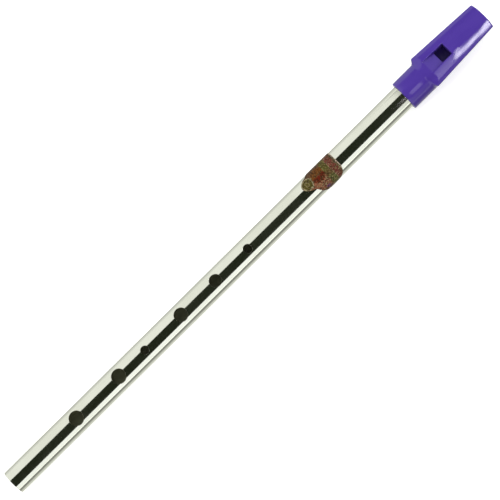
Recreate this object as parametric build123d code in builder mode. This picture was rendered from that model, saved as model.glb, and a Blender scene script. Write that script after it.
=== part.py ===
"""Tin whistle in B flat: plated brass tube, moulded mouthpiece, fipple block and decal."""
from build123d import *
from math import acos, atan2, cos, hypot, radians, sin
import os

os.makedirs("parts", exist_ok=True)

# Frame: the origin is the centre of the tube's open foot, +X runs along the bore to the
# tip of the mouthpiece, and +Z points up through the mouthpiece's window.

# Tube
tube_length = 325.7
tube_radius = 7.5
wall = 0.5
bore_radius = tube_radius - wall
end_chamfer = 0.12
hole_line_angle = -6.5  # the finger holes' line, turned about X from +Z; minus is towards -Y
finger_holes = [  # distance from the foot, diameter
    (50.8, 8.6),
    (84.0, 8.6),
    (104.5, 5.2),
    (132.6, 8.1),
    (159.6, 7.3),
    (184.8, 5.3),
]

# Decal, wrapped round the tube: distance from the foot and half of the angle it covers
decal_angle = 8.0
decal_thickness = 0.08
decal_foot_end = 229.6
decal_outline = [
    (231.0, 21),
    (233.5, 34),
    (235.6, 43),
    (237.4, 67),
    (239.8, 91),
    (243.2, 109),
    (247.2, 111),
    (250.8, 92),
    (253.4, 66),
]
decal_head_end = 254.5
decal_end_half_angle = 44.0

# Adhesive film in the socket
film_inner_radius = 7.53
film_outer_radius = 7.63
film_start = 307.5
film_end = 325.2

# Mouthpiece: collar and socket
collar_radius = 9.4
collar_start = 306.5
socket_radius = 7.66
socket_end = 326.0
socket_chamfer = 0.4
collar_rounding = 0.7

# Mouthpiece: body, between the shoulder ring and the tip. Each section has its top's
# half-width and height, its ridge's half-width and height, and its belly's radius
shoulder_foot = 321.3
shoulder_shape = (4.0, 8.2, 8.3, 4.2, 9.0)
shoulder_ring = 324.3
ring_shape = (4.4, 9.3, 11.25, 5.6, collar_radius)
tip_end = 369.5
tip_shape = (4.3, 8.5, 9.0, 5.6, 7.0)
tip_bow_radius = 80.0
shoulder_bulge = 0.45  # how far a shoulder's arc stands off its chord
ridge_rounding = 1.3
ring_rounding = 0.9
belly_flat = -9.1  # the underside's narrow flat, which the mouthpiece lies on

# Windway, window and labium
window_start = 334.9
window_end = 341.9
window_half_width = 4.1
floor_at_window = 5.7
floor_at_tip = 5.4
roof_at_window = 7.0
roof_at_tip = 7.3
windway_tip_half_width = 5.0
labium_top = 6.3
labium_underside = 6.0
head_bore_radius = 6.7
ramp_foot = 325.6
ramp_top = 9.4
block_edge_chamfer = 0.3

# Underside of the beak
scoop_start = 339.0
scoop_points = [(346.5, -7.6), (353.0, -3.4), (360.0, -0.4)]
scoop_tip_height = 1.4
reach = 40.0  # half the size of a cutting solid, larger than the mouthpiece is wide
overrun = 1.0  # how far a cut runs past the surface that it opens


def on_tube_plane(distance):
    """A section plane square to the bore: its x is the frame's Y and its y is the frame's Z."""
    return Plane.YZ.offset(distance)


def body_section(distance, top_half_width, top, ridge_half_width, ridge, belly_radius):
    """A flat top, rounded shoulders down to a ridge, and sides that run into a round belly."""
    turn = atan2(ridge, ridge_half_width) - acos(belly_radius / hypot(ridge_half_width, ridge))
    side_width, side = belly_radius * cos(turn), belly_radius * sin(turn)
    across, down = ridge_half_width - top_half_width, top - ridge
    slope = hypot(across, down)
    bulge_width = top_half_width + across / 2 + shoulder_bulge * down / slope
    bulge = top - down / 2 + shoulder_bulge * across / slope
    with BuildSketch(on_tube_plane(distance)) as section:
        with BuildLine():
            Line((-top_half_width, top), (top_half_width, top))
            for half in (-1, 1):
                ThreePointArc(
                    (half * top_half_width, top),
                    (half * bulge_width, bulge),
                    (half * ridge_half_width, ridge),
                )
                Line((half * ridge_half_width, ridge), (half * side_width, side))
            ThreePointArc((side_width, side), (0, -belly_radius), (-side_width, side))
        make_face()
    return section.sketch


# The space under the beak: everything below a curve that rises to the tip
with BuildSketch(Plane.XZ.offset(-reach)) as scoop:
    with BuildLine():
        curve = Spline(
            (scoop_start, -collar_radius),
            *scoop_points,
            (tip_end + overrun, scoop_tip_height),
            tangents=((1, -0.05), (1, 0.1)),
        )
        Polyline(curve @ 1, (tip_end + overrun, -reach), (scoop_start, -reach), curve @ 0)
    make_face()


# The tube, with its six finger holes drilled through the top wall
with BuildPart() as tube:
    with BuildSketch(on_tube_plane(0)):
        Circle(tube_radius)
        Circle(bore_radius, mode=Mode.SUBTRACT)
    extrude(amount=tube_length)
    chamfer(tube.edges().filter_by(GeomType.CIRCLE), length=end_chamfer)
    hole_plane = Plane.XY.rotated((-hole_line_angle, 0, 0))
    for distance, diameter in finger_holes:
        with BuildSketch(hole_plane):
            with Locations((distance, 0)):
                Circle(diameter / 2)
        extrude(amount=tube_radius + overrun, mode=Mode.SUBTRACT)
tube.part.label = "tube"
export_step(tube.part, "parts/tube.step")

# The decal: a thin sleeve kept only inside an outline seen from its side
decal_radius = tube_radius + decal_thickness
decal_plane = Plane.XZ.rotated((-decal_angle, 0, 0))
with BuildPart() as decal:
    with BuildSketch(on_tube_plane(decal_foot_end)):
        Circle(decal_radius)
        Circle(tube_radius, mode=Mode.SUBTRACT)
    extrude(amount=decal_head_end - decal_foot_end)
    with BuildSketch(decal_plane):
        with BuildLine():
            edge = [(x, decal_radius * cos(radians(angle))) for x, angle in decal_outline]
            foot_point = (decal_foot_end, decal_radius)
            head_point = (decal_head_end, decal_radius * cos(radians(decal_end_half_angle)))
            side = Spline(foot_point, *edge, head_point)
            Polyline(side @ 1, (decal_head_end, reach), (decal_foot_end, reach), side @ 0)
        make_face()
    extrude(amount=reach, both=True, mode=Mode.INTERSECT)
decal.part.label = "decal"
export_step(decal.part, "parts/decal.step")

# The film of adhesive between the tube and the socket
with BuildPart() as socket_adhesive:
    with BuildSketch(on_tube_plane(film_start)):
        Circle(film_outer_radius)
        Circle(film_inner_radius, mode=Mode.SUBTRACT)
    extrude(amount=film_end - film_start)
socket_adhesive.part.label = "socket_adhesive"
export_step(socket_adhesive.part, "parts/socket_adhesive.step")

# The mouthpiece: its outer body first, then the hollows
shoulder_section = body_section(shoulder_foot, *shoulder_shape)
ring_section = body_section(shoulder_ring, *ring_shape)
tip_section = body_section(tip_end, *tip_shape)

# The space above the ramp, seen from the side
with BuildSketch(Plane.XZ.offset(-window_half_width)) as ramp:
    with BuildLine():
        Polyline(
            (window_start, labium_top),
            (ramp_foot, ramp_top),
            (ramp_foot, reach),
            (window_start, reach),
            close=True,
        )
    make_face()

# The windway widens and opens out a little from the window to the tip
with BuildPart() as windway:
    with BuildSketch(Plane.XY):
        with BuildLine():
            Polyline(
                (window_end - overrun, -window_half_width),
                (window_end, -window_half_width),
                (tip_end + overrun, -windway_tip_half_width),
                (tip_end + overrun, windway_tip_half_width),
                (window_end, window_half_width),
                (window_end - overrun, window_half_width),
                close=True,
            )
        make_face()
    extrude(amount=collar_radius)
    with BuildSketch(Plane.XZ):
        with BuildLine():
            Polyline(
                (window_end - overrun, floor_at_window),
                (window_end, floor_at_window),
                (tip_end + overrun, floor_at_tip),
                (tip_end + overrun, roof_at_tip),
                (window_end, roof_at_window),
                (window_end - overrun, roof_at_window),
                close=True,
            )
        make_face()
    extrude(amount=collar_radius, both=True, mode=Mode.INTERSECT)

# Everything hollow inside the mouthpiece, as one solid
with BuildPart() as hollow:
    with BuildSketch(on_tube_plane(socket_end)):
        Circle(head_bore_radius)
    extrude(amount=tip_end + overrun - socket_end)
    with BuildSketch(Plane.XY.offset(labium_underside)):
        with Locations(((socket_end + window_start) / 2, 0)):
            Rectangle(window_start - socket_end, 2 * head_bore_radius)
    extrude(amount=reach, mode=Mode.SUBTRACT)
    with BuildSketch(on_tube_plane(collar_start)):
        Circle(socket_radius)
    extrude(amount=socket_end - collar_start)
    with BuildSketch(Plane.XY):
        with Locations(((window_start + window_end) / 2, 0)):
            Rectangle(window_end - window_start, 2 * window_half_width)
    extrude(amount=reach)
    extrude(ramp.sketch, amount=2 * window_half_width)
    add(windway.part)

with BuildPart() as mouthpiece:
    loft([ring_section.face(), tip_section.face()], ruled=True)
    body_length = tip_end - shoulder_ring
    ridges = mouthpiece.edges().filter_by(
        lambda edge: edge.length > body_length / 2 and abs(edge.center().Y) > collar_radius
    )
    fillet(ridges, radius=ridge_rounding)
    ring_edges = mouthpiece.faces().sort_by(Axis.X)[0].edges()
    fillet(ring_edges.filter_by(lambda edge: edge.center().Z > 0), radius=ring_rounding)
    loft([shoulder_section.face(), ring_section.face()], ruled=True)
    with BuildSketch(on_tube_plane(collar_start)):
        Circle(collar_radius)
    extrude(amount=shoulder_ring - collar_start)
    fillet(mouthpiece.faces().sort_by(Axis.X)[0].edges(), radius=collar_rounding)

    # The tip is bowed in plan, and the beak is scooped out below
    with BuildSketch(Plane.XY):
        with Locations((tip_end - tip_bow_radius, 0)):
            Circle(tip_bow_radius)
    extrude(amount=reach, both=True, mode=Mode.INTERSECT)
    extrude(scoop.sketch, amount=2 * reach, mode=Mode.SUBTRACT)
    with BuildSketch(Plane.XY.offset(belly_flat)):
        with Locations(((collar_start + scoop_start) / 2, 0)):
            Rectangle(scoop_start + reach - collar_start, reach)
    extrude(amount=-reach, mode=Mode.SUBTRACT)
    add(hollow.part, mode=Mode.SUBTRACT)
    socket_mouth = mouthpiece.edges().filter_by(
        lambda edge: edge.geom_type == GeomType.CIRCLE and abs(edge.radius - socket_radius) < 0.01
    )
    chamfer(socket_mouth.sort_by(Axis.X)[0], length=socket_chamfer)
mouthpiece.part.label = "mouthpiece"
export_step(mouthpiece.part, "parts/mouthpiece.step")

# The block fills the bore below the windway, from the window to the tip
with BuildSketch(Plane.XZ.offset(-reach)) as above_floor:
    with BuildLine():
        Polyline(
            (window_end, floor_at_window),
            (tip_end + overrun, floor_at_tip),
            (tip_end + overrun, reach),
            (window_end, reach),
            close=True,
        )
    make_face()
with BuildPart() as fipple_block:
    with BuildSketch(on_tube_plane(window_end)):
        Circle(head_bore_radius)
    extrude(amount=tip_end - window_end)
    with BuildSketch(Plane.XY):
        with Locations((tip_end - tip_bow_radius, 0)):
            Circle(tip_bow_radius)
    extrude(amount=reach, both=True, mode=Mode.INTERSECT)
    extrude(scoop.sketch, amount=2 * reach, mode=Mode.SUBTRACT)
    extrude(above_floor.sketch, amount=2 * reach, mode=Mode.SUBTRACT)
    sharp_edge = fipple_block.faces().sort_by(Axis.Z)[-1].edges().sort_by(Axis.X)[0]
    chamfer(sharp_edge, length=block_edge_chamfer)
fipple_block.part.label = "fipple_block"
export_step(fipple_block.part, "parts/fipple_block.step")
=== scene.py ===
"""Looks for the tin whistle: detailed meshes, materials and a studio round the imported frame."""
import math

import bpy
import numpy as np
from mathutils import Matrix, Vector


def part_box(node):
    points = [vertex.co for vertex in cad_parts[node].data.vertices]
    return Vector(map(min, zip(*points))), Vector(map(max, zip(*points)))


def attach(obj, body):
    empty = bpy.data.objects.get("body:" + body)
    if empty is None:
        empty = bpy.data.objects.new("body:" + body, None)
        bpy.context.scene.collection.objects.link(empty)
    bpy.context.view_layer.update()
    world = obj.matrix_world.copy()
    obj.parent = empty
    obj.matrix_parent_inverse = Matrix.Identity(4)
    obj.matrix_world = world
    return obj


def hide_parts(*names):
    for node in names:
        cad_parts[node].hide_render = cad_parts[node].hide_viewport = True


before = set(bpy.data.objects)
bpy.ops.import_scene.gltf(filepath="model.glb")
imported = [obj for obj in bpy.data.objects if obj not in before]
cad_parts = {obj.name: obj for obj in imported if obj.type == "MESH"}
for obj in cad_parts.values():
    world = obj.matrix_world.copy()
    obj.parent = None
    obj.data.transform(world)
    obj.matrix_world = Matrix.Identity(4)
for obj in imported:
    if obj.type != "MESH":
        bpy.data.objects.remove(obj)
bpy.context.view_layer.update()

MM = 0.001  # the sizes and places below are in millimetres

# ---------------------------------------------------------------------------
# Sizes and places
# ---------------------------------------------------------------------------


def box_mm(node):
    """A node's lowest and highest corners in millimetres."""
    low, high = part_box(node)
    return low / MM, high / MM


_, tube_high = box_mm("tube")
head_low, head_high = box_mm("mouthpiece")
block_low, _ = box_mm("fipple_block")
decal_low, decal_high = box_mm("decal")

# Tube
TUBE_LENGTH = tube_high.x
TUBE_RADIUS = tube_high.y
BORE_RADIUS = TUBE_RADIUS - 0.5
END_ROUNDING = 0.18
HOLE_ROUNDING = 0.07
HOLE_LINE_ANGLE = math.radians(-6.5)  # from +Z; minus is towards -Y
FINGER_HOLES = (  # distance from the foot, diameter
    (50.8, 8.6),
    (84.0, 8.6),
    (104.5, 5.2),
    (132.6, 8.1),
    (159.6, 7.3),
    (184.8, 5.3),
)

# Decal: distance from the foot and half of the angle it covers, in degrees
DECAL_ANGLE = math.radians(8)
DECAL_THICKNESS = 0.08
DECAL_OUTLINE = (
    (decal_low.x, 0),
    (231.0, 21),
    (233.5, 34),
    (235.6, 43),
    (237.4, 67),
    (239.8, 91),
    (243.2, 109),
    (247.2, 111),
    (250.8, 92),
    (253.4, 66),
    (decal_high.x, 44),
)

# Mouthpiece, outside; pairs are the values at the shoulder ring and at the tip
COLLAR_START = head_low.x
COLLAR_RADIUS = 9.4
SHOULDER_FOOT = COLLAR_START + 14.8
SHOULDER_RING = COLLAR_START + 17.8
TIP = head_high.x
TIP_BOW_RADIUS = 80.0
BELLY_FLAT = head_low.z
TOP_HALF_WIDTHS = (4.4, 4.3)
TOPS = (9.3, 8.5)
RIDGE_HALF_WIDTHS = (head_high.y, 9.0)
RIDGE_HEIGHT = 5.6
BELLY_RADII = (COLLAR_RADIUS, 7.0)
SHOULDER_ARC_RADIUS = 17.0
SCOOP_POINTS = (
    (339.0, -COLLAR_RADIUS),
    (346.5, -7.6),
    (353.0, -3.4),
    (360.0, -0.4),
    (TIP + 1, 1.4),
)
SCOOP_END_SLOPES = (-0.05, 0.1)
SCOOP_FALL = 3.0  # the slope before the first point

# Mouthpiece, inside
SOCKET_RADIUS = 7.66
SOCKET_END = 326.0
SOCKET_CHAMFER = 0.4
HEAD_BORE_RADIUS = 6.7
WINDOW_START = 334.9
WINDOW_END = block_low.x
WINDOW_HALF_WIDTH = 4.1
LABIUM_TOP = 6.3
LABIUM_UNDERSIDE = 6.0
RAMP_SLOPE = 3.1 / 9.3
FLOOR_HEIGHTS = (5.7, 5.4)  # at the window and at the tip, as the next two
ROOF_HEIGHTS = (7.0, 7.3)
WINDWAY_HALF_WIDTHS = (WINDOW_HALF_WIDTH, 5.0)

# Blends between surfaces: how far a blend reaches, about 1.5 times the radius of the edge
COLLAR_BLEND = 1.0
TOP_BLEND = 0.25
RIDGE_BLEND = 0.9
TIP_BLEND = 0.6
SCOOP_BLEND = 0.8
EDGE_BLEND = 0.3
CORNER_BLEND = 0.2
ROOF_BLEND = 0.1
SHOULDER_DELAY = 3.0  # how much further the step runs over the shoulders and the top
SHOULDER_DELAY_RISE = 3.0  # the height over the ridge where it does so in full
BLOCK_GAP = 0.03  # the seam between the block and the mouthpiece

# ---------------------------------------------------------------------------
# Camera: looks down on the whistle from slightly to the -Y side, rolled so that
# the bore runs up to the right
# ---------------------------------------------------------------------------
VIEW_TILT = math.radians(14.0)
VIEW_ROLL = math.radians(44.7)
CAMERA_DISTANCE = 1.51
SENSOR = 36.0
LENS = 194.6
AIM_ALONG = 185.3
AIM_ASIDE = -0.56

along = Vector((1, 0, 0))
towards_camera = Vector((0, -math.sin(VIEW_TILT), math.cos(VIEW_TILT)))
aside = Vector((0, math.cos(VIEW_TILT), math.sin(VIEW_TILT)))


def make_camera():
    data = bpy.data.cameras.new("camera")
    data.sensor_width = SENSOR
    data.lens = LENS
    data.clip_end = 50
    camera = bpy.data.objects.new("camera", data)
    bpy.context.scene.collection.objects.link(camera)
    right = math.cos(VIEW_ROLL) * along - math.sin(VIEW_ROLL) * aside
    up = math.sin(VIEW_ROLL) * along + math.cos(VIEW_ROLL) * aside
    aim = along * AIM_ALONG * MM + aside * AIM_ASIDE * MM
    place = aim + towards_camera * CAMERA_DISTANCE
    camera.matrix_world = Matrix.Translation(place) @ Matrix(
        (right, up, towards_camera)
    ).transposed().to_4x4()
    bpy.context.scene.camera = camera


make_camera()


# ---------------------------------------------------------------------------
# Node helpers
# ---------------------------------------------------------------------------


def new_material(name):
    material = bpy.data.materials.new(name)
    material.use_nodes = True
    return material, material.node_tree.nodes, material.node_tree.links


class Number:
    """A number that varies over a surface. Arithmetic on it adds Math nodes."""

    def __init__(self, tree, socket):
        self.tree, self.socket = tree, socket

    def math(self, operation, *others):
        node = self.tree.nodes.new("ShaderNodeMath")
        node.operation = operation
        for place, value in zip(node.inputs, (self, *others)):
            if isinstance(value, Number):
                self.tree.links.new(value.socket, place)
            else:
                place.default_value = value
        return Number(self.tree, node.outputs[0])

    def __add__(self, other):
        return self.math("ADD", other)

    def __sub__(self, other):
        return self.math("SUBTRACT", other)

    def __mul__(self, other):
        return self.math("MULTIPLY", other)

    def below(self, edge, softness):
        """1 where this is under the edge, 0 where it is over, with a soft step between."""
        node = self.tree.nodes.new("ShaderNodeMapRange")
        node.interpolation_type = "SMOOTHSTEP"
        node.inputs["From Min"].default_value = edge - softness
        node.inputs["From Max"].default_value = edge + softness
        node.inputs["To Min"].default_value = 1
        node.inputs["To Max"].default_value = 0
        self.tree.links.new(self.socket, node.inputs["Value"])
        return Number(self.tree, node.outputs["Result"])

    def spread(self, low, high, new_low, new_high):
        """This number's range moved and stretched to a new one, and kept inside it."""
        node = self.tree.nodes.new("ShaderNodeMapRange")
        for name, value in (
            ("From Min", low),
            ("From Max", high),
            ("To Min", new_low),
            ("To Max", new_high),
        ):
            node.inputs[name].default_value = value
        self.tree.links.new(self.socket, node.inputs["Value"])
        return Number(self.tree, node.outputs["Result"])

    def away_from(self, value):
        """The distance from a value, whichever side it is on."""
        return (self - value).math("ABSOLUTE")


class Paint:
    """A material under construction, with its shader and its object coordinates in millimetres."""

    def __init__(self, name):
        self.material, self.nodes, self.links = new_material(name)
        self.tree = self.material.node_tree
        self.shader = self.nodes["Principled BSDF"]
        coordinates = self.nodes.new("ShaderNodeTexCoord")
        scale = self.nodes.new("ShaderNodeVectorMath")
        scale.operation = "SCALE"
        scale.inputs["Scale"].default_value = 1 / MM
        self.links.new(coordinates.outputs["Object"], scale.inputs[0])
        self.place = scale.outputs[0]

    def set(self, **values):
        for name, value in values.items():
            self.shader.inputs[name.replace("_", " ")].default_value = value

    def link(self, name, value):
        socket = value.socket if isinstance(value, Number) else value
        self.links.new(socket, self.shader.inputs[name])

    def ordinate(self, axis):
        """The distance along X, Y or Z."""
        split = self.nodes.new("ShaderNodeSeparateXYZ")
        self.links.new(self.place, split.inputs[0])
        return Number(self.tree, split.outputs[axis])

    def stretched(self, factors):
        """Coordinates multiplied along each axis."""
        node = self.nodes.new("ShaderNodeVectorMath")
        node.operation = "MULTIPLY"
        node.inputs[1].default_value = factors
        self.links.new(self.place, node.inputs[0])
        return node.outputs[0]

    def noise(self, scale, detail=2.0, factors=(1, 1, 1)):
        """Noise with about `scale` lumps a millimetre."""
        node = self.nodes.new("ShaderNodeTexNoise")
        node.inputs["Scale"].default_value = scale
        node.inputs["Detail"].default_value = detail
        self.links.new(self.stretched(factors), node.inputs["Vector"])
        return Number(self.tree, node.outputs["Fac"])

    def mix(self, share, first, second):
        """A colour between two, each a colour or a socket."""
        node = self.nodes.new("ShaderNodeMix")
        node.data_type = "RGBA"
        self.links.new(share.socket, node.inputs[0])
        for place, colour in ((node.inputs[6], first), (node.inputs[7], second)):
            if isinstance(colour, tuple):
                place.default_value = (*colour, 1)
            else:
                self.links.new(colour, place)
        return node.outputs[2]

    def bump(self, height, distance):
        """Surface relief, with its depth in millimetres."""
        node = self.nodes.new("ShaderNodeBump")
        node.inputs["Strength"].default_value = 1.0
        node.inputs["Distance"].default_value = distance * MM
        self.links.new(height.socket, node.inputs["Height"])
        self.links.new(node.outputs["Normal"], self.shader.inputs["Normal"])


# ---------------------------------------------------------------------------
# Stage: a softly lit white table, and cards that only reflections see
# ---------------------------------------------------------------------------
FLOOR_SLOPE = (BELLY_FLAT + TUBE_RADIUS) / COLLAR_START  # the foot's rim and the collar touch it
FLOOR_REACH = 20000.0
MIDDLE = TIP / 2
CARD_LIFT = 0.3  # of the cards on the table

# The overhead cards are square to the line of sight, each at its height. A corner is an angle
# round the bore, in degrees with plus towards +Y, and a distance along
OVERHEAD_HEIGHT = 1200
NEAR_SHADE_HEIGHT = 1190
NEAR_HEIGHT = 1180
OVERHEAD_REACH = 4000
OVERHEAD_CARD = (
    (-43.5, -OVERHEAD_REACH),
    (-43.5, OVERHEAD_REACH),
    (31, OVERHEAD_REACH),
    (31, -OVERHEAD_REACH),
)
NEAR_SHADE = ((-43, 436), (-43, OVERHEAD_REACH), (-76, OVERHEAD_REACH), (-76, 700))
NEAR_CARD = ((-43.5, -OVERHEAD_REACH), (-43.5, 436), (-74, 657), (-74, -OVERHEAD_REACH))

# The low cards hang just over the whistle. A corner is a distance along and one aside
LOW_CARD_HEIGHT = 120.0
SHADE_LIFT = 5.0
CHEEK_LIFT = 2.0
FAR_SHADE = ((317, 62), (375, 842), (537, 3000), (2000, 3000), (2000, 62))
COLLAR_LIGHT = ((318.5, -16), (327.5, -16), (330, -74), (320.5, -74))
CHEEK_LIGHT = ((339, 12), (358.8, 12), (357, -28), (363, -81), (364, -98), (341, -98))
PEAK_LIGHT = ((358.5, -28), (359.7, 10), (360.6, 50), (363, 50), (362.5, 5), (364.2, -31))
BEAK_BEAM = (  # distance along, the core's distance aside, the reach to each side of the core
    (359.2, -42, 14, 14),
    (361.5, -51, 22, 31),
    (365.0, -65, 27, 22),
    (368.0, -69, 25, 20),
    (372.5, -70, 26, 24),
    (375.5, -71, 27, 27),
    (379.5, -71, 18, 23),
    (383.0, -75, 30, 21),
    (385.5, -73, 58, 32),
    (388.5, -75, 62, 40),
    (400.0, -77, 64, 45),
)
BEAK_GLOWS = ((1.8, 1.5), (1.25, 3.2), (1.0, 8), (0.72, 15.5))  # share of the reach, brightness
BEAK_CORE = 0.42  # share of the reach
BEAK_CORES = (BEAK_BEAM[1:3], BEAK_BEAM[4:7], BEAK_BEAM[7:])
RAMP_LIGHT = ((432, 50), (432, 100), (470, 100), (470, 50))


def floor_height(x):
    return -TUBE_RADIUS + FLOOR_SLOPE * x


def stage_plane(name, corners, material):
    corners = list(corners)
    mesh = bpy.data.meshes.new(name)
    mesh.from_pydata([Vector(c) * MM for c in corners], [], [tuple(range(len(corners)))])
    mesh.materials.append(material)
    thing = bpy.data.objects.new(name, mesh)
    bpy.context.scene.collection.objects.link(thing)
    return thing


def make_floor():
    """A white light table. It lights nothing from below, so the whistle's edges stay deep."""
    material, nodes, _ = new_material("floor")
    shader = nodes["Principled BSDF"]
    shader.inputs["Base Color"].default_value = (0.8, 0.8, 0.795, 1)
    shader.inputs["Roughness"].default_value = 0.9
    shader.inputs["Specular IOR Level"].default_value = 0.1
    shader.inputs["Emission Color"].default_value = (1, 1, 1, 1)
    shader.inputs["Emission Strength"].default_value = 0.5
    sides = ((-1, -1), (1, -1), (1, 1), (-1, 1))
    corners = [
        (x * FLOOR_REACH, y * FLOOR_REACH, floor_height(x * FLOOR_REACH)) for x, y in sides
    ]
    floor = stage_plane("floor", corners, material)
    floor.visible_diffuse = False


def card(name, colour, corners, fade=None):
    """A card that only reflections see: dark where it hides the bright studio, or bright.
    The fade is (y, y, times): the brightness changes by that factor between the two."""
    paint = Paint(name)
    paint.nodes.remove(paint.shader)
    glow = paint.nodes.new("ShaderNodeEmission")
    glow.inputs["Color"].default_value = (*colour, 1)
    paint.links.new(glow.outputs[0], paint.nodes["Material Output"].inputs["Surface"])
    if fade:
        low, high, times = fade
        strength = paint.ordinate(1).spread(low, high, 1, times)
        paint.links.new(strength.socket, glow.inputs["Strength"])
    thing = stage_plane(name, corners, paint.material)
    thing.visible_camera = False
    thing.visible_diffuse = False
    thing.visible_shadow = False
    thing.visible_transmission = False


def across(angle):
    """Unit vector square to the bore: 0 is towards the camera, plus is towards +Y."""
    return towards_camera * math.cos(angle) + aside * math.sin(angle)


def overhead(height, corners):
    """Corners on the plane of an overhead card."""
    for degrees, x in corners:
        angle = math.radians(degrees)
        yield across(angle) * (height / math.cos(angle)) + Vector((x, 0, 0))


def on_table(near, far):
    """The corners of a card that lies on the table between two distances from the bore."""
    for x, y in ((-400, far), (800, far), (800, near), (-400, near)):
        yield x, y, floor_height(x) + CARD_LIFT


def low_over(corners, lift=0):
    """Corners on the plane just over the whistle."""
    for x, side in corners:
        yield towards_camera * (LOW_CARD_HEIGHT + lift) + aside * side + along * x


def beam(stations, share):
    """The corners of a band over the whistle with a share of its full reach."""
    upper = [(x, core + above * share) for x, core, above, _ in stations]
    lower = [(x, core - below * share) for x, core, _, below in stations]
    return low_over(upper + lower[::-1], share)


def make_cards():
    """The overhead card makes the dark band, and the near card the tube's white one. The cards
    on the table shade the tube's sides, and the low ones shade and light the mouthpiece."""
    card("overhead_card", (0.0155, 0.0195, 0.0105), overhead(OVERHEAD_HEIGHT, OVERHEAD_CARD))
    card("far_shade", (0.06, 0.06, 0.06), low_over(FAR_SHADE, SHADE_LIFT))
    card("near_shade", (0.5, 0.5, 0.5), overhead(NEAR_SHADE_HEIGHT, NEAR_SHADE))
    card("near_card", (1.18, 1.18, 1.22), overhead(NEAR_HEIGHT, NEAR_CARD))
    card("table_card", (0.28, 0.28, 0.27), on_table(-5.5, -77), (-28, -10, 3.2))
    card("far_table_card", (0.60, 0.60, 0.59), on_table(16, 3000), (36, 56, 1.4))
    card("collar_card", (2.4, 2.2, 2.7), low_over(COLLAR_LIGHT))
    card("cheek_card", (3.3, 3.1, 3.5), low_over(CHEEK_LIGHT, CHEEK_LIFT), (-87, -17, 0.25))
    card("peak_card", (15.5, 15, 16), low_over(PEAK_LIGHT), (-45, 15, 0.2))
    for share, glow in BEAK_GLOWS:
        card("beak_card", (glow, glow * 0.97, glow * 1.02), beam(BEAK_BEAM, share))
    for stations in BEAK_CORES:
        card("beak_core_card", (22, 21.4, 22.4), beam(stations, BEAK_CORE))
    card("ramp_card", (0.7, 0.7, 0.7), low_over(RAMP_LIGHT))


def softbox(name, angle, distance, width, length, power):
    """A soft lamp that reflections don't see; the cards stand for it there."""
    data = bpy.data.lights.new(name, "AREA")
    data.shape = "RECTANGLE"
    data.size, data.size_y = length, width
    data.energy = power
    light = bpy.data.objects.new(name, data)
    bpy.context.scene.collection.objects.link(light)
    out = across(math.radians(angle))
    place = along * MIDDLE * MM + out * distance
    side = out.cross(along)
    light.matrix_world = (
        Matrix.Translation(place) @ Matrix((along, -side, out)).transposed().to_4x4()
    )
    light.visible_camera = False
    light.visible_glossy = False


def make_lights():
    world = bpy.data.worlds.new("studio")
    world.use_nodes = True
    nodes, links = world.node_tree.nodes, world.node_tree.links
    coordinates = nodes.new("ShaderNodeTexCoord")
    split = nodes.new("ShaderNodeSeparateXYZ")
    links.new(coordinates.outputs["Generated"], split.inputs[0])
    height = Number(world.node_tree, split.outputs[2])
    background = nodes["Background"]
    background.inputs["Color"].default_value = (1, 1, 0.985, 1)
    links.new(height.spread(-0.05, 0.05, 0.3, 1.0).socket, background.inputs["Strength"])
    bpy.context.scene.world = world
    softbox("far_softbox", angle=30, distance=1.0, width=0.5, length=2.0, power=5)


make_floor()
make_cards()
make_lights()
bpy.context.scene.view_settings.view_transform = "Standard"


# ---------------------------------------------------------------------------
# Materials
# ---------------------------------------------------------------------------


def nickel_plate():
    """Polished nickel: draw lines along the tube, hazy patches and a few fine scratches."""
    paint = Paint("nickel_plate")
    paint.set(Metallic=1.0)
    haze = paint.noise(0.06, 3.0)
    lines = paint.noise(1.0, 2.0, (0.02, 2.2, 2.2))
    scratches = paint.noise(1.0, 1.0, (0.25, 5.0, 5.0)).spread(0.70, 0.78, 0, 1)
    tone = haze.spread(0.35, 0.65, 0, 1)
    clean = paint.mix(tone, (0.78, 0.80, 0.70), (0.735, 0.755, 0.65))
    paint.link("Base Color", paint.mix(scratches * 0.35, clean, (0.55, 0.54, 0.49)))
    rough = haze.spread(0.4, 0.7, 0.055, 0.11) + lines.spread(0.4, 0.7, 0, 0.04)
    paint.link("Roughness", rough + scratches * 0.08)
    paint.bump(lines + scratches * -0.4, 0.0006)
    return paint.material


def bore_metal_and_shade():
    """The inside of the tube: unpolished metal with drag marks along it, darkened past its own
    colour as painted shade inside the bore.
    """
    paint = Paint("bore_metal_and_shade")
    paint.set(Metallic=0.4)
    dull = paint.noise(0.12, 4.0)
    drag = paint.noise(1.0, 2.0, (0.03, 3.0, 3.0))
    tone = dull.spread(0.35, 0.65, 0, 1)
    # Painted shade: these dark colours stand for the shade inside the tube, and are darker than
    # the bare metal would be.
    paint.link("Base Color", paint.mix(tone, (0.25, 0.26, 0.16), (0.34, 0.35, 0.23)))
    paint.link("Roughness", dull.spread(0.3, 0.7, 0.4, 0.6) + drag.spread(0.4, 0.7, 0, 0.08))
    paint.bump(drag, 0.004)
    return paint.material


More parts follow.
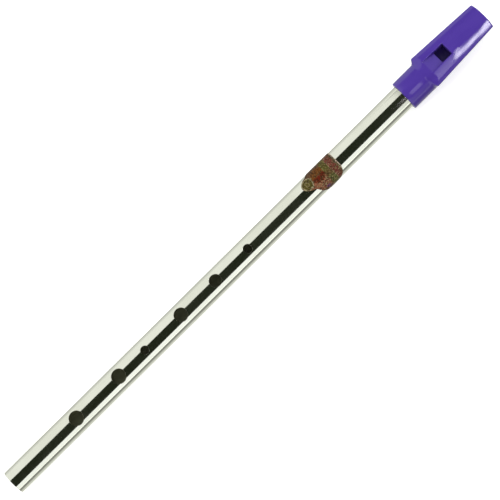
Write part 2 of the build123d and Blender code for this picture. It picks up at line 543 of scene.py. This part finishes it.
def moulded_plastic(name, colour, deep, roughness):
    """Glossy moulded plastic: faint flow marks, a slight orange peel and hairline scuffs."""
    paint = Paint(name)
    paint.set(IOR=1.48, Specular_IOR_Level=0.4)
    flow = paint.noise(0.09, 3.0, (0.5, 1.3, 1.3))
    peel = paint.noise(0.9, 1.0)
    grain = paint.noise(6.0, 2.0)
    scuffs = paint.noise(1.0, 2.0, (0.6, 4.0, 4.0)).spread(0.68, 0.76, 0, 1)
    base = paint.mix(flow.spread(0.35, 0.65, 0, 1), deep, colour)
    y, z = paint.ordinate(1), paint.ordinate(2)
    inside = (y * y + z * z).math("SQRT").below(HEAD_BORE_RADIUS + 0.4, 0.1)
    matt = inside * z.below(5.6, 0.1) * paint.ordinate(0).below(WINDOW_END + 2, 1.0)
    paint.link("Base Color", paint.mix(scuffs * 0.10, base, tuple(c * 1.5 for c in colour)))
    rough = flow.spread(0.3, 0.7, roughness - 0.01, roughness + 0.02)
    paint.link("Roughness", rough + scuffs * 0.08 + matt * 0.45)
    paint.bump(peel * 0.8 + grain * 0.12 + scuffs * -0.15, 0.0012)
    return paint.material


def adhesive_film():
    """A dull amber smear, thinner in places."""
    paint = Paint("adhesive_smear")
    smear = paint.noise(0.5, 4.0, (0.4, 1, 1))
    tone = smear.spread(0.35, 0.65, 0, 1)
    paint.link("Base Color", paint.mix(tone, (0.42, 0.34, 0.19), (0.62, 0.56, 0.42)))
    paint.link("Roughness", smear.spread(0.3, 0.7, 0.45, 0.75))
    paint.bump(smear, 0.03)
    return paint.material


PAPER = (0.42, 0.33, 0.26)
STRAW = (0.36, 0.28, 0.13)
CREAM = (0.26, 0.23, 0.13)
KHAKI = (0.19, 0.16, 0.07)
MOSS = (0.19, 0.17, 0.06)
OLIVE = (0.070, 0.058, 0.010)
DARK_OLIVE = (0.075, 0.060, 0.030)
GREEN = (0.075, 0.082, 0.018)
UMBER = (0.080, 0.036, 0.015)
PALE_UMBER = (0.10, 0.055, 0.03)
ORANGE = (0.125, 0.040, 0.004)
RED = (0.105, 0.010, 0.002)
BRICK = (0.235, 0.085, 0.045)
MAROON = (0.12, 0.030, 0.020)
VIOLET = (0.12, 0.045, 0.10)
INK = (0.020, 0.011, 0.004)
WANDER = 2.6  # how far the print's lines may stray, both ways together


class Art:
    """Places on the print in millimetres: s from its foot end, and t round, plus towards +Y."""

    def __init__(self, paint):
        art = paint.nodes.new("ShaderNodeUVMap")
        art.uv_map = "art"
        split = paint.nodes.new("ShaderNodeSeparateXYZ")
        paint.links.new(art.outputs[0], split.inputs[0])
        s = Number(paint.tree, split.outputs[0]) * (decal_high.x - decal_low.x)
        t = (Number(paint.tree, split.outputs[1]) - 0.5) * (TUBE_RADIUS * 2 * math.pi)
        self.s = s + (paint.noise(0.8, 2.0) - 0.5) * WANDER
        self.t = t + (paint.noise(0.9, 2.0, (1, 1, 0.8)) - 0.5) * WANDER

    def disc(self, at_s, radius, at_t=0):
        s, t = self.s - at_s, self.t - at_t
        return (s * s + t * t).math("SQRT").below(radius, 0.12)

    def band(self, at_s, half_width, softness=0.12):
        return self.s.away_from(at_s).below(half_width, softness)

    def lattice(self, pitch, width):
        """Crossing diagonal lines."""
        lines = []
        for sign in (1, -1):
            wave = ((self.s + self.t * sign) * (1 / pitch)).math("PINGPONG", 0.5)
            lines.append(wave.below(width, 0.05))
        return lines[0].math("MAXIMUM", lines[1])

    def dots(self, pitch, radius):
        s = (self.s * (1 / pitch)).math("PINGPONG", 0.5)
        t = (self.t * (1 / pitch)).math("PINGPONG", 0.5)
        return (s * s + t * t).math("SQRT").below(radius, 0.06)


def print_field(paint, art, speckle):
    """The field: umber, and brick on the near side, with the halved roundel and its dots."""
    colour = paint.mix(speckle.spread(0.35, 0.65, 0, 1), UMBER, PALE_UMBER)
    colour = paint.mix(art.t.away_from(-4.5).below(5.5, 2.0) * 0.8, colour, BRICK)
    colour = paint.mix(art.disc(11.8, 4.4), colour, ORANGE)
    colour = paint.mix(art.disc(11.5, 4.6) * art.t.below(-0.6, 0.5), colour, RED)
    colour = paint.mix(art.lattice(2.4, 0.07) * 0.45, colour, UMBER)
    colour = paint.mix(art.dots(2.4, 0.16) * art.t.below(-4.5, 0.6), colour, CREAM)
    return paint.mix(art.disc(12.4, 1.3, -9.9), colour, VIOLET)


def print_bands(paint, art, colour):
    """The green band with its chevrons, the red one with its dots, and the dark head end."""
    chevrons = (art.s + art.t.away_from(0) * 0.7).math("PINGPONG", 0.9).below(0.3, 0.12)
    leaf = paint.mix(art.t.below(-3.0, 3.0), OLIVE, GREEN)
    leaf = paint.mix(chevrons * 0.5, leaf, MOSS)
    leaf = paint.mix(art.t.away_from(-3.5).below(1.7, 0.9) * 0.75, leaf, UMBER)
    colour = paint.mix(art.band(17.4, 1.95), colour, leaf)
    dotted = paint.mix(art.dots(1.7, 0.17) * 0.8, MAROON, CREAM)
    colour = paint.mix(art.band(21.35, 1.75), colour, dotted)
    colour = paint.mix(art.band(19.45, 0.12, 0.06) * 0.7, colour, CREAM)
    return paint.mix(art.s.below(23.3, 0.3), DARK_OLIVE, colour)


def print_disc(paint, art, colour):
    """The small ringed disc at the foot end."""
    for radius, tint in ((3.75, CREAM), (3.0, OLIVE), (1.5, KHAKI), (0.9, OLIVE)):
        colour = paint.mix(art.disc(3.9, radius), colour, tint)
    return colour


def decal_print():
    """A generic print: a small disc at the foot end, a halved roundel, and two bands."""
    paint = Paint("decal_print")
    art = Art(paint)
    speckle = paint.noise(1.0, 3.0)
    colour = print_field(paint, art, speckle)
    colour = print_bands(paint, art, colour)
    colour = print_disc(paint, art, colour)

    # A pale edge at the head end, and the mottle and grain of the print
    colour = paint.mix(art.s.below(24.45, 0.08), PAPER, colour)
    colour = paint.mix(speckle.spread(0.40, 0.54, 0.75, 0), colour, INK)
    flecks = paint.noise(1.4, 2.0).spread(0.57, 0.65, 0, 1)
    colour = paint.mix(flecks * (art.t.below(-3.5, 2.5) * 0.4 + 0.2), colour, STRAW)
    paint.link("Base Color", colour)
    paint.link("Roughness", speckle.spread(0.3, 0.7, 0.28, 0.42))
    paint.set(Coat_Weight=0.04, Coat_Roughness=0.1, Specular_IOR_Level=0.06)
    paint.bump(paint.noise(5.0, 2.0), 0.004)
    return paint.material


# ---------------------------------------------------------------------------
# Mesh helpers
# ---------------------------------------------------------------------------


def mesh_object(name, points, normals, faces, *materials):
    """A smooth mesh with its own normals, from points in millimetres."""
    mesh = bpy.data.meshes.new(name)
    mesh.from_pydata((np.asarray(points) * MM).tolist(), [], faces)
    mesh.polygons.foreach_set("use_smooth", [True] * len(mesh.polygons))
    mesh.normals_split_custom_set_from_vertices(np.asarray(normals).tolist())
    for material in materials:
        mesh.materials.append(material)
    thing = bpy.data.objects.new(name, mesh)
    bpy.context.scene.collection.objects.link(thing)
    return thing


class Skin:
    """Collects the points, normals and faces of one piece, and which faces are in the bore."""

    def __init__(self):
        self.points, self.normals, self.faces, self.bore_faces = [], [], [], []

    def add(self, point, normal):
        self.points.append(point)
        self.normals.append(normal)
        return len(self.points) - 1

    def bridge(self, first, second, flip=False):
        """Faces between two closed rows of points."""
        for i in range(len(first)):
            j = (i + 1) % len(first)
            face = (first[i], first[j], second[j], second[i])
            self.faces.append(face[::-1] if flip else face)


def round_the_bore(x, angle, radius):
    """The point at an angle from +Z, plus towards +Y."""
    return (x, radius * math.sin(angle), radius * math.cos(angle))


# ---------------------------------------------------------------------------
# The tube: a ring of quads on each side of the wall, with a fitted patch round each hole
# ---------------------------------------------------------------------------
SEGMENTS = 128
STEP = 2 * math.pi / SEGMENTS
ARC_STEPS = 4
PATCH_RINGS = 5
PATCH_CELL = 0.45
PATCH_MARGIN = 1.2
PATCH_SIDE_MARGIN = math.radians(3.5)
BARE_CELL = 6.0


def angle_of(k):
    """The angle of one of the grid's lines along the tube; the holes are on number 0."""
    return HOLE_LINE_ANGLE + k * STEP


class Hole:
    """A finger hole and its patch, a rectangle of the grid that reaches from its first ring
    to its last, and `half` segments to each side of the holes' line."""

    def __init__(self, distance, diameter):
        self.distance, self.radius = distance, diameter / 2
        self.rim = self.radius + HOLE_ROUNDING
        self.half_length = self.rim + PATCH_MARGIN
        self.half = math.ceil((math.asin(self.rim / BORE_RADIUS) + PATCH_SIDE_MARGIN) / STEP)

    def add_stations(self, stations):
        """Adds rings up to the patch and over it, and notes the first and the last over it."""
        start, end = self.distance - self.half_length, self.distance + self.half_length
        add_rings(stations, start, math.ceil((start - stations[-1]) / BARE_CELL))
        self.first = len(stations) - 1
        add_rings(stations, end, round(2 * self.half_length / PATCH_CELL))
        self.last = len(stations) - 1

    def covers(self, i, k, border):
        """Whether a grid point lies inside the patch, or a grid cell when border is 0."""
        k = (k + SEGMENTS // 2) % SEGMENTS - SEGMENTS // 2
        return self.first + border <= i < self.last and -self.half + border <= k < self.half

    def border(self):
        """The grid points round the patch."""
        places = [(self.first, k) for k in range(-self.half, self.half)]
        places += [(i, self.half) for i in range(self.first, self.last)]
        places += [(self.last, k) for k in range(self.half, -self.half, -1)]
        return places + [(i, -self.half) for i in range(self.last, self.first, -1)]


def add_rings(stations, end, count):
    stations += list(np.linspace(stations[-1], end, count + 1)[1:])


def tube_stations(holes):
    """Distances of the grid's rings from the foot, close together over the patches."""
    stations = [END_ROUNDING]
    for hole in holes:
        hole.add_stations(stations)
    end = TUBE_LENGTH - END_ROUNDING
    add_rings(stations, end, math.ceil((end - stations[-1]) / BARE_CELL))
    return stations


def add_wall(skin, stations, holes, radius, outward):
    """One side of the wall, without the patches. Returns the point at each place of the grid."""
    grid = {}
    for i, x in enumerate(stations):
        for k in range(SEGMENTS):
            if not any(hole.covers(i, k, 1) for hole in holes):
                normal = round_the_bore(0, angle_of(k), outward)
                grid[i, k] = skin.add(round_the_bore(x, angle_of(k), radius), normal)
    for i in range(len(stations) - 1):
        for k in range(SEGMENTS):
            if not any(hole.covers(i, k, 0) for hole in holes):
                j = (k + 1) % SEGMENTS
                face = (grid[i, k], grid[i, j], grid[i + 1, j], grid[i + 1, k])
                skin.faces.append(face[::-outward])
    return grid


def add_end(skin, outer_ring, inner_ring, x_end, outward):
    """A rounded end, between the last rings of the wall's two sides."""
    turns = [math.pi / 2 * n / ARC_STEPS for n in range(1, ARC_STEPS + 1)]
    last = outer_ring
    for side, radius, arc in ((1, TUBE_RADIUS, turns), (-1, BORE_RADIUS, turns[::-1])):
        for turn in arc:
            x = x_end - outward * END_ROUNDING * (1 - math.sin(turn))
            r = radius - side * END_ROUNDING * (1 - math.cos(turn))
            ring = []
            for k in range(SEGMENTS):
                _, y, z = round_the_bore(0, angle_of(k), side * math.cos(turn))
                normal = (outward * math.sin(turn), y, z)
                ring.append(skin.add(round_the_bore(x, angle_of(k), r), normal))
            skin.bridge(last, ring, flip=outward == 1)
            last = ring
    skin.bridge(last, inner_ring, flip=outward == 1)


def patch_rings(skin, hole, stations, headings, grid, radius, outward):
    """Rings from a patch's border towards the hole's rim, on one side of the wall."""
    rings = [[grid[i, k % SEGMENTS] for i, k in hole.border()]]
    for n in range(1, PATCH_RINGS):
        share = n / PATCH_RINGS
        ring = []
        for (i, k), heading in zip(hole.border(), headings):
            rim_x = hole.distance + hole.rim * math.cos(heading)
            rim_angle = math.asin(hole.rim * math.sin(heading) / radius)
            x = stations[i] + (rim_x - stations[i]) * share
            angle = angle_of(k) + (rim_angle - k * STEP) * share
            normal = round_the_bore(0, angle, outward)
            ring.append(skin.add(round_the_bore(x, angle, radius), normal))
        rings.append(ring)
    return rings


def rim_ring(skin, hole, headings, turn, radius, outward):
    """A ring of the rounded rim; a quarter turn takes it from the tube's side into the hole."""
    reach = hole.radius + HOLE_ROUNDING * (1 - math.sin(turn))
    depth = radius - outward * HOLE_ROUNDING * (1 - math.cos(turn))
    ring = []
    for heading in headings:
        x = hole.distance + reach * math.cos(heading)
        angle = HOLE_LINE_ANGLE + math.asin(reach * math.sin(heading) / depth)
        off_tube = np.array(round_the_bore(0, angle, outward))
        _, y, z = round_the_bore(0, HOLE_LINE_ANGLE + math.pi / 2, math.sin(heading))
        inward = -np.array((math.cos(heading), y, z))
        normal = math.cos(turn) * off_tube + math.sin(turn) * inward
        normal /= np.linalg.norm(normal)
        ring.append(skin.add(round_the_bore(x, angle, depth), tuple(normal)))
    return ring


def add_hole(skin, hole, stations, outer, inner):
    """The patches on both sides of the wall, and the hole between them."""
    headings = [
        math.atan2(k / hole.half, (stations[i] - hole.distance) / hole.half_length)
        for i, k in hole.border()
    ]
    turns = [math.pi / 2 * n / ARC_STEPS for n in range(ARC_STEPS + 1)]
    plated = patch_rings(skin, hole, stations, headings, outer, TUBE_RADIUS, 1)
    plated += [rim_ring(skin, hole, headings, turn, TUBE_RADIUS, 1) for turn in turns]
    bare = [rim_ring(skin, hole, headings, turn, BORE_RADIUS, -1) for turn in turns[::-1]]
    bare += patch_rings(skin, hole, stations, headings, inner, BORE_RADIUS, -1)[::-1]
    for above, below in zip(plated, plated[1:]):
        skin.bridge(above, below, flip=True)
    start = len(skin.faces)
    for above, below in zip([plated[-1]] + bare, bare):
        skin.bridge(above, below, flip=True)
    skin.bore_faces += range(start, len(skin.faces))


def make_tube(plate, bore):
    holes = [Hole(*place) for place in FINGER_HOLES]
    stations = tube_stations(holes)
    skin = Skin()
    outer = add_wall(skin, stations, holes, TUBE_RADIUS, 1)
    start = len(skin.faces)
    inner = add_wall(skin, stations, holes, BORE_RADIUS, -1)
    skin.bore_faces += range(start, len(skin.faces))
    for end, x_end, outward in ((0, 0, -1), (len(stations) - 1, TUBE_LENGTH, 1)):
        rings = [[grid[end, k] for k in range(SEGMENTS)] for grid in (outer, inner)]
        add_end(skin, *rings, x_end, outward)
    for hole in holes:
        add_hole(skin, hole, stations, outer, inner)
    tube = mesh_object("whistle_tube", skin.points, skin.normals, skin.faces, plate, bore)
    in_bore = np.zeros(len(skin.faces), int)
    in_bore[skin.bore_faces] = 1
    tube.data.polygons.foreach_set("material_index", in_bore)
    return tube


# ---------------------------------------------------------------------------
# The mouthpiece and its block: each is where a function of place is below zero
# ---------------------------------------------------------------------------
NET_CELL = (0.3, 0.3, 0.25)
NET_MARGIN = 0.9
PROBE = 0.01  # the step of a numerical gradient


def blend_max(a, b, reach):
    """The larger of two fields, rounded where they meet."""
    share = np.clip(0.5 + 0.5 * (a - b) / reach, 0, 1)
    return b + (a - b) * share + reach * share * (1 - share)


def blend_min(a, b, reach):
    return -blend_max(-a, -b, reach)


def ease(t):
    """From 0 to 1 with level ends."""
    t = np.clip(t, 0, 1)
    return t * t * (3 - 2 * t)


def between(pair, t):
    return pair[0] + (pair[1] - pair[0]) * t


def curve_through(xs, ys, slopes, x):
    """Cubics through points, with a slope at each."""
    i = np.clip(np.searchsorted(xs, x) - 1, 0, len(xs) - 2)
    span = xs[i + 1] - xs[i]
    t = np.clip((x - xs[i]) / span, 0, 1)
    rise = (2 * t**3 - 3 * t**2 + 1) * ys[i] + (3 * t**2 - 2 * t**3) * ys[i + 1]
    return rise + span * ((t**3 - 2 * t**2 + t) * slopes[i] + (t**3 - t**2) * slopes[i + 1])


def scoop_height(x):
    """The underside's curve, which falls away steeply before the scoop."""
    xs, zs = np.array(SCOOP_POINTS).T
    slopes = np.gradient(zs, xs)
    slopes[0], slopes[-1] = SCOOP_END_SLOPES
    return curve_through(xs, zs, slopes, x) - SCOOP_FALL * np.clip(xs[0] - x, 0, None)


def scoop_field(x, z):
    steepness = (scoop_height(x + PROBE) - scoop_height(x - PROBE)) / (2 * PROBE)
    return (scoop_height(x) - z) / np.sqrt(1 + steepness**2)


def bow_field(x, y):
    return np.hypot(x - (TIP - TIP_BOW_RADIUS), y) - TIP_BOW_RADIUS


def body_field(x, y, z):
    """The body's section: a flat top, convex shoulders, and sides that run into a round belly."""
    t = (x - SHOULDER_RING) / (TIP - SHOULDER_RING)
    side = np.abs(y)
    top, top_width = between(TOPS, t), between(TOP_HALF_WIDTHS, t)
    ridge, belly = between(RIDGE_HALF_WIDTHS, t), between(BELLY_RADII, t)

    # The shoulder is an arc through the top's edge and the ridge
    width, height = ridge - top_width, top - RIDGE_HEIGHT
    chord = np.hypot(width, height)
    sink = np.sqrt(SHOULDER_ARC_RADIUS**2 - chord**2 / 4)
    centre_side = (top_width + ridge) / 2 - sink * height / chord
    centre_z = (top + RIDGE_HEIGHT) / 2 - sink * width / chord
    shoulder = np.hypot(side - centre_side, z - centre_z) - SHOULDER_ARC_RADIUS

    # The side is the line from the ridge that touches the belly's circle
    turn = np.arctan2(RIDGE_HEIGHT, ridge) - np.arccos(belly / np.hypot(ridge, RIDGE_HEIGHT))
    plane = side * np.cos(turn) + z * np.sin(turn) - belly
    above = z * np.cos(turn) - side * np.sin(turn) > 0
    flank = np.where(above, plane, np.hypot(side, z) - belly)
    return blend_max(blend_max(z - top, shoulder, TOP_BLEND), flank, RIDGE_BLEND)


def outside_field(x, y, z):
    collar = np.hypot(y, z) - COLLAR_RADIUS
    delay = SHOULDER_DELAY * ease((z - RIDGE_HEIGHT) / SHOULDER_DELAY_RISE)
    run = SHOULDER_RING - SHOULDER_FOOT + delay
    share = ease((x - SHOULDER_FOOT) / run)
    field = collar + (body_field(x, y, z) - collar) * share
    field = blend_max(field, BELLY_FLAT - z, CORNER_BLEND)
    field = blend_max(field, COLLAR_START - x, COLLAR_BLEND)
    field = blend_max(field, bow_field(x, y), TIP_BLEND)
    return blend_max(field, scoop_field(x, z), SCOOP_BLEND)


def hollow_field(x, y, z):
    """The socket, the bore with a flat under the labium, the window, the ramp and the windway."""
    round_bore = np.hypot(y, z)
    side = np.abs(y) - WINDOW_HALF_WIDTH
    t = (x - WINDOW_END) / (TIP - WINDOW_END)
    mouth = np.clip(SOCKET_CHAMFER - (x - COLLAR_START), 0, None)
    socket = np.maximum(round_bore - SOCKET_RADIUS - mouth, x - SOCKET_END)
    under = blend_max(round_bore - HEAD_BORE_RADIUS, z - LABIUM_UNDERSIDE, CORNER_BLEND)
    under = np.maximum(under, x - WINDOW_START)
    bore = np.maximum(round_bore - HEAD_BORE_RADIUS, WINDOW_START - x)
    bore = blend_min(np.minimum(bore, under), socket, CORNER_BLEND)
    window = blend_max(side, WINDOW_START - x, CORNER_BLEND)
    window = np.maximum(blend_max(window, x - WINDOW_END, CORNER_BLEND), -z)
    ramp_height = LABIUM_TOP + RAMP_SLOPE * (WINDOW_START - x)
    ramp = (ramp_height - z) / math.hypot(1, RAMP_SLOPE)
    ramp = np.maximum(blend_max(ramp, side, CORNER_BLEND), x - WINDOW_END)
    walls = np.abs(y) - between(WINDWAY_HALF_WIDTHS, t)
    windway = blend_max(walls, z - between(ROOF_HEIGHTS, t), ROOF_BLEND)
    windway = np.maximum(np.maximum(windway, between(FLOOR_HEIGHTS, t) - z), WINDOW_START - x)
    return np.minimum(np.minimum(bore, window), np.minimum(ramp, windway))


def mouthpiece_field(x, y, z):
    return blend_max(outside_field(x, y, z), -hollow_field(x, y, z), EDGE_BLEND)


def block_field(x, y, z):
    t = (x - WINDOW_END) / (TIP - WINDOW_END)
    field = np.hypot(y, z) - HEAD_BORE_RADIUS + BLOCK_GAP
    field = blend_max(field, z - between(FLOOR_HEIGHTS, t), CORNER_BLEND)
    field = blend_max(field, WINDOW_END - x, EDGE_BLEND)
    field = blend_max(field, bow_field(x, y) + BLOCK_GAP, EDGE_BLEND)
    return blend_max(field, scoop_field(x, z) + BLOCK_GAP, EDGE_BLEND)


def gradient(field, points):
    """The field's gradient, by central differences."""
    columns = []
    for axis in range(3):
        offset = np.zeros(3)
        offset[axis] = PROBE
        difference = field(*(points + offset).T) - field(*(points - offset).T)
        columns.append(difference / (2 * PROBE))
    return np.stack(columns, axis=1)


def settle(field, points, rounds):
    """Moves points on to the zero level, never further than half a cell at once."""
    for _ in range(rounds):
        slope = gradient(field, points)
        steps = field(*points.T)[:, None] * slope / np.maximum((slope**2).sum(1), 0.05)[:, None]
        length = np.linalg.norm(steps, axis=1)[:, None]
        points = points - steps * np.minimum(1, 0.5 * NET_CELL[0] / np.maximum(length, 1e-9))
    return points


def net_over(field, low, high):
    """Points and quads over the field's zero level, with a point in each cell that it crosses."""
    axes = [
        np.arange(a - NET_MARGIN, b + NET_MARGIN + cell, cell)
        for a, b, cell in zip(low, high, NET_CELL)
    ]
    value = field(*np.meshgrid(*axes, indexing="ij"))
    inside = value < 0
    cells = tuple(n - 1 for n in inside.shape)
    total, count = np.zeros((*cells, 3)), np.zeros(cells, int)
    crossings = []
    for axis in range(3):
        here = [slice(None)] * 3
        there = [slice(None)] * 3
        here[axis], there[axis] = slice(0, -1), slice(1, None)
        crossed = np.argwhere(inside[tuple(here)] != inside[tuple(there)])
        others = [a for a in range(3) if a != axis]
        beside = crossed[:, others]
        keep = np.all((beside > 0) & (beside < np.array(cells)[others]), 1)
        crossed = crossed[keep]
        ahead = crossed.copy()
        ahead[:, axis] += 1
        first, second = value[tuple(crossed.T)], value[tuple(ahead.T)]
        place = np.stack([axes[a][crossed[:, a]] for a in range(3)], axis=1)
        place[:, axis] += NET_CELL[axis] * first / (first - second)
        corners = []
        for back in ((0, 0), (1, 0), (1, 1), (0, 1)):
            cell = crossed.copy()
            cell[:, others] -= back
            np.add.at(total, tuple(cell.T), place)
            np.add.at(count, tuple(cell.T), 1)
            corners.append(cell)
        outward = (first < 0) == (axis != 1)
        crossings.append((corners, outward))
    number = np.full(cells, -1)
    used = count > 0
    number[used] = np.arange(used.sum())
    points = total[used] / count[used][:, None]
    faces = []
    for corners, outward in crossings:
        quads = np.stack([number[tuple(cell.T)] for cell in corners], axis=1)
        quads[~outward] = quads[~outward][:, ::-1]
        faces.append(quads)
    return points, np.concatenate(faces)


def relax(field, points, faces, rounds):
    """Evens the points out along the surface."""
    for _ in range(rounds):
        total, count = np.zeros_like(points), np.zeros(len(points))
        for a, b in ((0, 1), (1, 2), (2, 3), (3, 0)):
            np.add.at(total, faces[:, a], points[faces[:, b]])
            np.add.at(total, faces[:, b], points[faces[:, a]])
            np.add.at(count, faces[:, a], 1)
            np.add.at(count, faces[:, b], 1)
        points = points + 0.5 * (total / count[:, None] - points)
        points = settle(field, points, 1)
    return settle(field, points, 2)


def carve(name, field, node, material):
    low, high = box_mm(node)
    points, faces = net_over(field, low, high)
    points = relax(field, settle(field, points, 2), faces, 2)
    normals = gradient(field, points)
    normals /= np.linalg.norm(normals, axis=1)[:, None]
    return mesh_object(name, points, normals, faces.tolist(), material)


# ---------------------------------------------------------------------------
# The decal: a thin skin on the tube, thickest away from its edge
# ---------------------------------------------------------------------------
DECAL_ROWS = 64
DECAL_COLUMNS = 72
DECAL_EDGE = 0.14
DECAL_LIFT = 0.004  # keeps its underside clear of the tube


def decal_half_angle(x):
    """Half of the angle covered at a distance from the foot: a curve through the outline."""
    xs, degrees = np.array(DECAL_OUTLINE).T
    heights = np.cos(np.radians(degrees))
    height = curve_through(xs, heights, np.gradient(heights, xs), x)
    return np.arccos(np.clip(height, -1, 1))


def make_decal(material):
    spread = (1 - np.cos(np.linspace(0, math.pi, DECAL_ROWS))) / 2
    xs = decal_low.x + 0.003 + spread * (decal_high.x - decal_low.x - 0.003)
    shares = np.sin(np.linspace(-math.pi / 2, math.pi / 2, DECAL_COLUMNS))
    x = np.repeat(xs[:, None], DECAL_COLUMNS, axis=1)
    half = decal_half_angle(x)
    angle = DECAL_ANGLE + half * shares[None, :]
    inset = np.minimum(half * (1 - np.abs(shares)) * TUBE_RADIUS, x - xs[0])
    inset = np.minimum(inset, xs[-1] - x)
    rise = 1 - np.clip(inset / DECAL_EDGE, 0, 1)
    top = TUBE_RADIUS + DECAL_LIFT + (DECAL_THICKNESS - DECAL_LIFT) * np.sqrt(1 - rise**2)
    points, uvs = [], []
    for radius in (top, np.full_like(top, TUBE_RADIUS + DECAL_LIFT / 2)):
        layer = np.stack([x, radius * np.sin(angle), radius * np.cos(angle)], axis=-1)
        points.append(layer.reshape(-1, 3))
        around = (angle - DECAL_ANGLE) / (2 * math.pi) + 0.5
        share = (x - decal_low.x) / (decal_high.x - decal_low.x)
        uvs.append(np.stack([share, around], axis=-1).reshape(-1, 2))
    count = DECAL_ROWS * DECAL_COLUMNS
    ids = np.arange(count).reshape(DECAL_ROWS, DECAL_COLUMNS)
    quads = np.stack([ids[:-1, :-1], ids[:-1, 1:], ids[1:, 1:], ids[1:, :-1]], -1).reshape(-1, 4)
    rim = np.concatenate([ids[0, :-1], ids[:-1, -1], ids[-1, :0:-1], ids[:0:-1, 0]])
    after = np.roll(rim, -1)
    walls = np.stack([rim, after, after + count, rim + count], axis=-1)
    faces = np.concatenate([quads[:, ::-1], quads + count, walls])
    mesh = bpy.data.meshes.new("whistle_decal")
    mesh.from_pydata((np.concatenate(points) * MM).tolist(), [], faces.tolist())
    mesh.polygons.foreach_set("use_smooth", [True] * len(faces))
    layer = mesh.uv_layers.new(name="art")
    layer.data.foreach_set("uv", np.concatenate(uvs)[faces.ravel()].ravel())
    mesh.materials.append(material)
    thing = bpy.data.objects.new("whistle_decal", mesh)
    bpy.context.scene.collection.objects.link(thing)
    return thing


# ---------------------------------------------------------------------------
# Pieces on their bodies
# ---------------------------------------------------------------------------


def stand_for(piece, node, body):
    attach(piece, body)
    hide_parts(node)


PURPLE = (0.070, 0.036, 0.29)
DEEP_PURPLE = (0.062, 0.031, 0.27)
BLOCK_PURPLE = (0.056, 0.027, 0.26)
DEEP_BLOCK_PURPLE = (0.050, 0.024, 0.24)
stand_for(make_tube(nickel_plate(), bore_metal_and_shade()), "tube", "tube")
stand_for(make_decal(decal_print()), "decal", "tube")
head_paint = moulded_plastic("mouthpiece_plastic", PURPLE, DEEP_PURPLE, 0.055)
block_paint = moulded_plastic("block_plastic", BLOCK_PURPLE, DEEP_BLOCK_PURPLE, 0.3)
head = carve("whistle_mouthpiece", mouthpiece_field, "mouthpiece", head_paint)
stand_for(head, "mouthpiece", "head")
block = carve("whistle_block", block_field, "fipple_block", block_paint)
stand_for(block, "fipple_block", "head")
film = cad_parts["socket_adhesive"]
film.data.materials.clear()
film.data.materials.append(adhesive_film())
